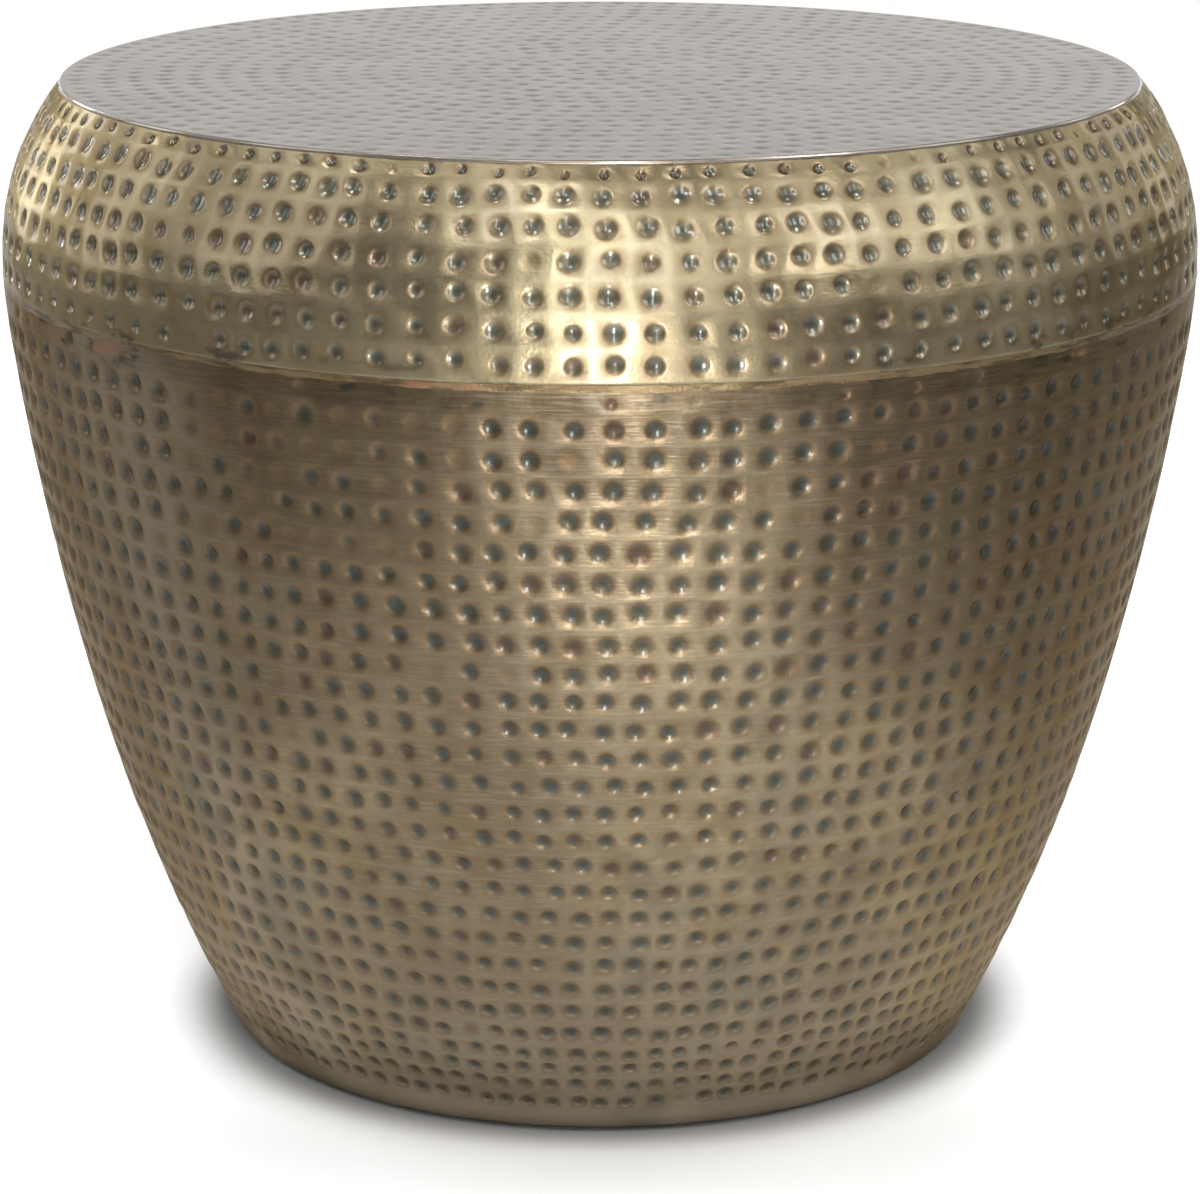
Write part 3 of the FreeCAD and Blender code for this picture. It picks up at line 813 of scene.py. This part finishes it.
def buildBody():
    hammer = bodyHammer
    draws = random.Random(hammer["seed"])
    lines = rowLines(hammer)
    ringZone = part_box("ring_welds")[1].z + hammer["pitRadius"]

    def stagger(line):
        return hammer["stagger"] if line > hammer["lowRows"] else hammer["lowStagger"]

    def strengthAt(place):
        if place.z > lines[1]:
            return draws.choice(hammer["firstForces"])
        bare = noise.noise(place * hammer["bareScale"] + hammer["bareShift"])
        if place.z > hammer["bareAbove"] and bare > hammer["bareLevel"]:
            return draws.choice(hammer["bareForces"])
        return 1.0 if place.z > hammer["fineTop"] else hammer["fineForce"]

    def roomAt(place):  # the base ring is welded close behind the lowest pits
        return hammer["tightDepth"] if place.z < ringZone else hammer["lining"]

    bm = bmesh.new()
    cells = wallCells(bm, lines, hammer, draws, stagger)
    sinkPits(bm, cells, hammer, wallPit(hammer, draws, strengthAt, roomAt))
    top, foot = openRims(bm, drumTop / 2)

    # the collar laps behind the shoulder, and the inner wall goes down from it
    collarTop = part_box("body_shell")[1].z
    inset = hammer["lining"] + hammer["lapGap"]
    collar = [(wallRadius(z) - inset, z) for z in (seamTop, collarTop)]
    collar += [(radius - sheet, z) for radius, z in reversed(collar)]
    curl = curlOutline()
    heights = evenly(seamBottom, curl[-1][1], hammer["wallSteps"])[:-1]
    lining = [(wallRadius(z) - hammer["lining"], z) for z in heights]
    inside = growAlong(bm, top, collar + lining)

    # bare band and rolled edge
    heights = evenly(hammer["smoothBand"], curl[0][1], hammer["bandSteps"])[1:-1]
    band = [(wallRadius(z), z) for z in heights]
    rim = growAlong(bm, foot, band + curl)
    bmesh.ops.bridge_loops(bm, edges=inside + rim)
    finishPiece("body_hammered", bm, hammeredBrass("bodyBrass", bodyTones),
                "drum", "body_brass", "body_shell")


# Shoulder: six full rows and a short one under the top's edge

shoulderHammer = {
    "seed": 23,
    "columns": 107,
    "rows": 6,
    "rowPitch": 14.0 * mm,   # along the curve
    "stagger": 0.14,
    "lip": 1.5 * mm,         # plain strip above the seam
    "pitRadius": 4.5 * mm,
    "lowRadius": 4.1 * mm,
    "crown": 0.55,
    "lowCrown": 0.4,
    "crownRows": (0.37, 0.40),
    "pitFill": 0.72,
    "pitDepth": 1.75 * mm,
    "stray": 1.0 * mm,
    "rimCuts": 4,
    "step": 0.2 * mm,
    "wander": 1.2 * mm,
    "dish": 0.4 * mm,
    "wave": 0.10,
    "waveScale": 30,
    "lining": 2.5 * mm,
    "wallSteps": 8,
    "tightDepth": 0.3 * mm,
    "ledgeInner": 233.75 * mm,  # radius of the opening under the top sheet
    "ledgeGap": 0.05 * mm,      # last row line below the ledge
    "edgeRise": 0.3 * mm,       # lower edge, turned in towards the seam
    "edgeTuck": 0.4 * mm,
    "rowSlope": 0.5 * mm,       # half the height over which a slope is read
    "liningSlope": 0.4 * mm,
}


def slopeAt(z, half):  # how fast the wall's radius grows with height
    return (wallRadius(z + half) - wallRadius(z - half)) / (2 * half)


def inward(z, depth):  # a point inside the wall, measured square to it
    slope = slopeAt(z, shoulderHammer["liningSlope"])
    tilt = math.hypot(1, slope)
    return wallRadius(z) - depth / tilt, z + depth * slope / tilt


def stepUp(z, length):  # height reached by going up the wall's curve for a length
    steps = 40
    for step in range(steps):
        slope = slopeAt(z, shoulderHammer["rowSlope"])
        z += length / steps / math.hypot(1, slope)
    return z


def buildShoulder():
    hammer = shoulderHammer
    draws = random.Random(hammer["seed"])
    lines = [seamTop + hammer["lip"]]
    for row in range(hammer["rows"]):
        lines.append(stepUp(lines[-1], hammer["rowPitch"]))
    lines.append(ledgeTop - hammer["ledgeGap"])
    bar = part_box("cross_bar_main")[1]
    barSide = bar.y + hammer["pitRadius"]
    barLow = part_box("bar_welds")[0].z - hammer["pitRadius"]
    barHigh = bar.z + hammer["pitRadius"]

    def roomAt(place):  # the cross under the board is welded close behind these
        nearBar = min(abs(place.x), abs(place.y)) < barSide and barLow < place.z < barHigh
        return hammer["tightDepth"] if nearBar else hammer["lining"]

    bm = bmesh.new()
    cells = wallCells(bm, lines, hammer, draws, lambda line: hammer["stagger"])
    sinkPits(bm, cells, hammer, wallPit(hammer, draws, lambda place: 1.0, roomAt))
    top, foot = openRims(bm, (seamTop + drumTop) / 2)

    lining = hammer["lining"]
    heights = evenly(ledgeTop - sheet, seamTop, hammer["wallSteps"])[:-1]
    inner = [inward(z, lining) for z in heights] + [(wallRadius(seamTop) - lining, seamTop)]
    ledge = [(hammer["ledgeInner"], z) for z in (ledgeTop, ledgeTop - lining)]
    inside = growAlong(bm, top, ledge + inner)
    edgeTop = seamTop + hammer["edgeRise"]
    edge = [(wallRadius(edgeTop), edgeTop), (wallRadius(seamTop) - hammer["edgeTuck"], seamTop)]
    outside = growAlong(bm, foot, edge)
    bmesh.ops.bridge_loops(bm, edges=inside + outside)
    finishPiece("shoulder_hammered", bm, hammeredBrass("shoulderBrass", shoulderTones),
                "drum", "shoulder_brass", "shoulder_shell")


# Seam: a lumpy run of filler in the groove under the shoulder's edge

seamBead = {
    "steps": 428,
    "section": 6,
    "sink": 0.35 * mm,      # in from the wall's face
    "back": 1.4 * mm,
    "underlap": 0.2 * mm,   # down over the body's edge
    "lump": 0.3 * mm,
    "lumpTurn": 40,         # noise round the seam
    "lumpRise": 350,        # and up it, per metre
}


def buildSeam():
    bm = bmesh.new()
    low, high = seamBottom - seamBead["underlap"], seamTop
    face = [(wallRadius(z) - seamBead["sink"], z) for z in evenly(low, high, seamBead["section"])]
    outline = face + [(radius - seamBead["back"], z) for radius, z in (face[-1], face[0])]
    lathe(bm, outline + outline[:1], seamBead["steps"])
    bmesh.ops.remove_doubles(bm, verts=bm.verts, dist=hair)
    for vert in bm.verts:
        if reach(vert.co) > wallRadius(min(max(vert.co.z, low), high)) - seamBead["back"] / 2:
            turn = math.atan2(vert.co.y, vert.co.x)
            spot = polar(seamBead["lumpTurn"], turn, vert.co.z * seamBead["lumpRise"])
            lump = seamBead["lump"] * noise.fractal(spot, 1.0, 2.0, 3)
            vert.co = polar(reach(vert.co) + lump, turn, vert.co.z)
    finishPiece("seam_bead", bm, brazeMetal(), "drum", "braze_metal", "seam_braze")


# Top: rings of shallower pits, from the edge to one in the middle

topHammer = {
    "seed": 37,
    "edge": 0.9 * mm,        # flat rim outside the first ring
    "bands": 18,             # rings of pits round the middle one
    "land": 1.2 * mm,        # flat strip between two rings
    "hubSides": 6,
    "pitRadius": 4.1 * mm,
    "pitDepth": 0.40 * mm,
    "force": (0.7, 1.05),
    "patchScale": 18,
    "patchForce": (0.7, 0.5),  # least, and what a heavy area adds
    "missShare": 0.04,
    "missForce": 0.3,
    "spread": (0.85, 1.08),  # of the radius
    "stray": 0.8 * mm,
    "lip": 0.4,
    "crown": 0.6,
    "darkSpread": (0.7, 1.0),
    "wave": 0.01,
    "waveScale": 30,
    "rimCuts": 2,
    "step": 0.2 * mm,
    "round": 0.6 * mm,       # soft edge of the sheet
    "roundSteps": 4,
}


def topPit(hammer, draws):
    leastForce, heavyForce = hammer["patchForce"]
    stray = hammer["stray"]

    def pit(cell):
        centre = cell.calc_center_median()
        heavy = 0.5 + 0.5 * noise.noise(centre * hammer["patchScale"])
        strength = draws.uniform(*hammer["force"]) * (leastForce + heavyForce * heavy)
        if draws.random() < hammer["missShare"]:
            strength *= hammer["missForce"]
        return {
            "centre": centre + Vector((draws.uniform(-stray, stray), draws.uniform(-stray, stray), 0)),
            "normal": Vector((0, 0, 1)),
            "radius": hammer["pitRadius"] * draws.uniform(*hammer["spread"]),
            "depth": hammer["pitDepth"] * strength,
            "steep": hammer["pitDepth"] * strength / hammer["pitRadius"],
            "lip": hammer["lip"],
            "dark": min(1.0, strength) * draws.uniform(*hammer["darkSpread"]),
            "tone": draws.random(),
            "crown": hammer["crown"],
        }
    return pit


def buildTop():
    hammer = topHammer
    draws = random.Random(hammer["seed"])
    edgeRadius = wallRadius(drumTop - hammer["round"])
    outside = edgeRadius - hammer["edge"] - hammer["round"]
    pitch = outside / (hammer["bands"] + 0.5)  # half a ring is left for the middle
    bm = bmesh.new()
    cells = []
    middles = []
    for ring in range(hammer["bands"]):
        outer = outside - ring * pitch
        inner = outer - pitch + hammer["land"]
        middle = (outer + inner) / 2
        band = lathe(bm, [(outer, drumTop), (inner, drumTop)], round(math.tau * middle / pitch))
        swing = draws.uniform(0, math.tau)
        for vert in dict.fromkeys(vert for cell in band for vert in cell.verts):
            vert.co = polar(reach(vert.co), math.atan2(vert.co.y, vert.co.x) + swing, drumTop)
        cells += band
        middles.append(middle)
    hub = bmesh.ops.create_circle(bm, cap_ends=True, segments=hammer["hubSides"], radius=pitch / 2)["verts"]
    bmesh.ops.translate(bm, verts=hub, vec=(0, 0, drumTop))
    cells += hub[0].link_faces
    middles.append(0)
    bm.normal_update()
    bmesh.ops.reverse_faces(bm, faces=[cell for cell in cells if cell.normal.z < 0])
    cutRims(bm, cells, hammer["rimCuts"])
    sinkPits(bm, cells, hammer, topPit(hammer, draws))

    # land between the rings
    outerLoops = [[] for middle in middles]
    innerLoops = [[] for middle in middles]
    for edge in [edge for edge in bm.edges if edge.is_boundary]:
        radius = reach(edge.verts[0].co + edge.verts[1].co) / 2
        ring = min(range(len(middles)), key=lambda index: abs(middles[index] - radius))
        (outerLoops if radius > middles[ring] else innerLoops)[ring].append(edge)
    for inner, outer in zip(innerLoops, outerLoops[1:]):
        bmesh.ops.bridge_loops(bm, edges=inner + outer)

    # soft edge, side and underside of the sheet
    loop = growLoop(bm, outerLoops[0], edgeRadius - hammer["round"], drumTop)
    for turn in evenly(0, math.pi / 2, hammer["roundSteps"])[1:]:
        radius = edgeRadius - hammer["round"] * (1 - math.sin(turn))
        loop = growLoop(bm, loop, radius, drumTop - hammer["round"] * (1 - math.cos(turn)))
    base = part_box("top_sheet")[0].z
    loop = growLoop(bm, loop, wallRadius(base + hair), base)
    bmesh.ops.edgeloop_fill(bm, edges=loop)
    finishPiece("top_hammered", bm, hammeredBrass("topBrass", topTones),
                "drum", "top_brass", "top_sheet")


# Soles: cut discs of felt with a fuzzy, slightly uneven edge

sole = {
    "steps": 48,
    "inset": 0.25 * mm,
    "fray": 0.22 * mm,
    "frayScale": 900,
    "frayFrom": 0.8,       # share of the radius
    "merge": 0.001 * mm,
}
# from the middle of the upper face over the edge, as shares of the radius and the thickness
soleEdge = [
    (0, 1), (0.5, 1), (0.88, 1), (0.96, 0.86), (1, 0.55),
    (0.985, 0.2), (0.94, 0.02), (0.5, 0), (0, 0),
]


def buildSole(corner, material):
    node = "glide_sole_" + str(corner)
    low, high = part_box(node)
    radius = (high.x - low.x) / 2 - sole["inset"]
    bm = bmesh.new()
    lathe(bm, [(radius * wide, (high.z - low.z) * tall) for wide, tall in soleEdge], sole["steps"])
    bmesh.ops.remove_doubles(bm, verts=bm.verts, dist=sole["merge"])
    for vert in bm.verts:
        if reach(vert.co) / radius > sole["frayFrom"]:
            fray = sole["fray"] * noise.noise((vert.co + Vector((corner, 0, 0))) * sole["frayScale"])
            vert.co = polar(reach(vert.co) + fray, math.atan2(vert.co.y, vert.co.x), vert.co.z)
    bmesh.ops.translate(bm, verts=bm.verts, vec=((low.x + high.x) / 2, (low.y + high.y) / 2, low.z))
    finishPiece("felt_sole_" + str(corner), bm, material, "foot_" + str(corner), "sole_felt", node)


buildTop()
buildShoulder()
buildSeam()
buildBody()
corners = range(1, 5)
feltMaterial = soleFelt()
for corner in corners:
    buildSole(corner, feltMaterial)


# Finishes of the pieces that come straight from the frame

def dress(material, *names):
    for name in names:
        mesh = nodes[name].data
        mesh.materials.clear()
        mesh.materials.append(material)


dress(platedSteel("rimWire"), "base_wire")
dress(blackSteel(), "base_ring", "cross_bar_main", "cross_bar_rear_half", "cross_bar_front_half")
dress(weldMetal(), "ring_welds", "bar_welds")
dress(platedSteel("zincSteel"), "weld_nuts", *["glide_stud_" + str(corner) for corner in corners])
dress(platedSteel("screwSteel"), "board_screws")
dress(birchPly(), "top_board")
dress(footNylon(), *["glide_foot_" + str(corner) for corner in corners])
print("frame pieces dressed")


# Studio: pale floor, soft boxes, and a camera at the photograph's angle

studio = {
    "floorSize": 16.0,
    "floorColour": (0.55, 0.55, 0.55, 1),
    "contactColour": (0.20, 0.20, 0.20, 1),  # painted contact shadow close to the drum, where little light gets in
    "contact": (0.178, 0.206),   # distances from the axis between which it gives way
    "floorLift": 0.52,           # glow that whitens the floor in view
    "farLift": 0.3,              # more of it well behind the drum
    "farBand": (0.3, 3.0),
    "liftRing": (0.182, 0.224),  # none under the drum, all of it this far from the axis, which leaves a painted contact shadow round the drum
    "liftFront": (-1.3, -0.5),   # it fades out towards the camera
    "liftSide": (0.30, 0.58),    # and past these distances to either side
    "liftFan": 0.5,              # which widen towards the back
    "shadeAhead": (0.225, 0.40),  # painted shadow, drawn longer in front of the drum
    "aheadFan": (0.3, 0.9),
    "aheadShare": 0.68,
    "skyLow": (0.28, 0.277, 0.275, 1),
    "skyHigh": (0.18, 0.18, 0.185, 1),
    "skyBand": (0.12, 0.5),
    "aimHeight": 0.42,
}
# each soft box: degrees round from the front, distance from the axis, height, size, and how bright it looks
softBoxes = {
    "frontTall": (3, 2.4, 0.68, (0.30, 0.76), 9.6),
    "frontHigh": (5, 2.4, 2.05, (0.40, 2.0), 13),
    "frontLow": (3, 1.2, 0.19, (0.15, 0.34), 45),
    "frontLeft": (-17, 1.73, 2.1, (0.50, 0.4), 20),
    "frontRight": (44, 1.85, 1.5, (0.6, 1.05), 9.5),
    "right": (76, 1.8, 1.3, (0.5, 1.0), 4.4),
    "rightRear": (112, 1.8, 0.95, (0.35, 1.0), 2.6),
    "left": (-66, 1.75, 1.35, (0.7, 1.5), 2.6),
    "leftRear": (-102, 1.8, 0.95, (0.5, 1.3), 3.2),
    "highLeft": (-75, 1.0, 2.8, (0.5, 0.5), 26),
    "highRight": (75, 1.0, 2.8, (0.5, 0.5), 26),
    "rearLeft": (-133, 2.4, 1.0, (0.5, 1.5), 6),
    "rearRight": (133, 2.4, 1.0, (0.4, 1.5), 3.2),
    "rearPanel": (180, 2.4, 1.28, (2.6, 2.0), 0.47),
}
# these face straight across, and the others tip down towards the drum
levelBoxes = {"frontTall", "frontHigh", "frontLow", "rearLeft", "rearRight", "rearPanel"}
view = {"place": (0, -2.0, 0.7506), "down": 15.307, "lens": 129.13, "sensor": 36.0}


def buildFloor():
    bm = bmesh.new()
    bmesh.ops.create_grid(bm, x_segments=2, y_segments=2, size=studio["floorSize"])
    mesh = bpy.data.meshes.new("floor")
    bm.to_mesh(mesh)
    bm.free()
    finish, coords = newFinish("floorPaint")
    path = finish.node("LightPath")
    seen = path
    for name in ("Is Glossy Ray", "Is Transmission Ray"):
        seen = seen.maths("MAXIMUM", seen, Value(finish.tree, path.socket.node.outputs[name]))
    x, y = finish.apart(coords)[:2]
    aside = abs(x) - studio["liftFan"] * y.maths("MAXIMUM", y, 0.0)
    away = finish.length(coords)
    # painted contact shadow: the floor's paint darkens close to the drum
    colour = finish.mix(away.between(*studio["contact"]), studio["contactColour"], studio["floorColour"])
    paint = finish.node("BsdfDiffuse", None, {"Color": colour})
    glow = away.between(*studio["liftRing"]) * y.between(*studio["liftFront"])
    glow = glow * (1.0 - aside.between(*studio["liftSide"]))
    glow = glow * (studio["floorLift"] + studio["farLift"] * y.between(*studio["farBand"]))
    # painted shadow: less glow on the floor just in front of the drum
    paintedShadowAhead = (-1.0 * y / away).between(*studio["aheadFan"]) * (1.0 - away.between(*studio["shadeAhead"]))
    glow = glow * (1.0 - studio["aheadShare"] * paintedShadowAhead)
    lift = finish.node("Emission", None, {"Strength": seen * glow})
    both = finish.node("AddShader", None, {0: paint, 1: lift})
    below = finish.node("NewGeometry", None, None, out="Backfacing")
    clear = finish.node("BsdfTransparent")
    shown = finish.node("MixShader", None, {0: below, 1: both, 2: clear})  # clear from underneath
    finish.node("OutputMaterial", None, {"Surface": shown})
    mesh.materials.append(finish.block)
    floor = bpy.data.objects.new("floor", mesh)
    bpy.context.scene.collection.objects.link(floor)


def buildSky():
    world = bpy.data.worlds.new("studio")
    bpy.context.scene.world = world
    finish = Finish(world)
    height = finish.apart(finish.node("TexCoord"))[2]
    colour = finish.mix(height.between(*studio["skyBand"]), studio["skyLow"], studio["skyHigh"])
    sky = finish.node("Background", None, {"Color": colour, "Strength": 1.0})
    finish.node("OutputWorld", None, {"Surface": sky})


def buildLights():
    for name, (degrees, out, height, size, glow) in softBoxes.items():
        lamp = bpy.data.lights.new(name, "AREA")
        lamp.shape = "RECTANGLE"
        lamp.size, lamp.size_y = size
        lamp.energy = glow * math.pi * lamp.size * lamp.size_y
        holder = bpy.data.objects.new(name, lamp)
        holder.location = polar(out, math.radians(degrees - 90), height)
        aimHeight = height if name in levelBoxes else studio["aimHeight"]
        aim = Vector((0, 0, aimHeight)) - holder.location
        holder.rotation_euler = aim.to_track_quat("-Z", "Y").to_euler()
        bpy.context.scene.collection.objects.link(holder)


def buildCamera():
    camera = bpy.data.cameras.new("camera")
    camera.sensor_fit = "HORIZONTAL"
    camera.sensor_width = view["sensor"]
    camera.lens = view["lens"]
    holder = bpy.data.objects.new("camera", camera)
    holder.location = view["place"]
    holder.rotation_euler = (math.radians(90 - view["down"]), 0, 0)
    bpy.context.scene.collection.objects.link(holder)
    bpy.context.scene.camera = holder


buildFloor()
buildSky()
buildLights()
buildCamera()
bpy.context.scene.view_settings.view_transform = "Standard"
print("studio ready")
